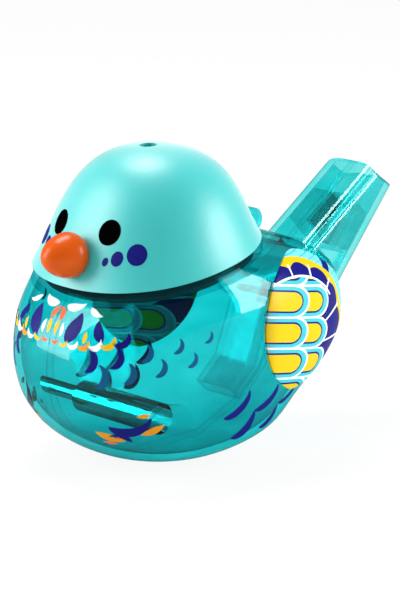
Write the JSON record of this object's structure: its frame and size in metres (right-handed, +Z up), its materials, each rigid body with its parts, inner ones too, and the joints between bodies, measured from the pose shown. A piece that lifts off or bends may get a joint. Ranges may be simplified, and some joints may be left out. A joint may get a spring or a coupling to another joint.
{
  "type": "bird-shaped water whistle",
  "caption": "Water whistle shaped like a bird: clear hollow body that holds water, lift-off head cap with a beak, and a tail mouthpiece with a windway and an air duct.",
  "frame": {"origin": "on the ground under the middle of the bird's overall box", "axes": "+Z up, -Y the way the beak points, +Y towards the tail, +X the bird's left"},
  "size_m": [0.0626, 0.109, 0.0741],
  "materials": {
    "clear_body": "clear teal moulding, polished, with printed feathers",
    "clear_insert": "clear teal moulding, polished",
    "head": "opaque turquoise, satin, with printed eyes and cheek dots",
    "beak": "opaque orange, glossy"
  },
  "bodies": {
    "body": {"body_left": "clear_body", "body_right": "clear_body", "windway_block": "clear_insert", "air_duct": "clear_insert"},
    "head": {"head_cap": "head", "beak": "beak"}
  },
  "joints": [
    {"name": "head_lift", "type": "slide", "parent": "body", "child": "head", "axis": [0, -0.2062, 0.9785], "range_m": [0, 0.03]}
  ]
}
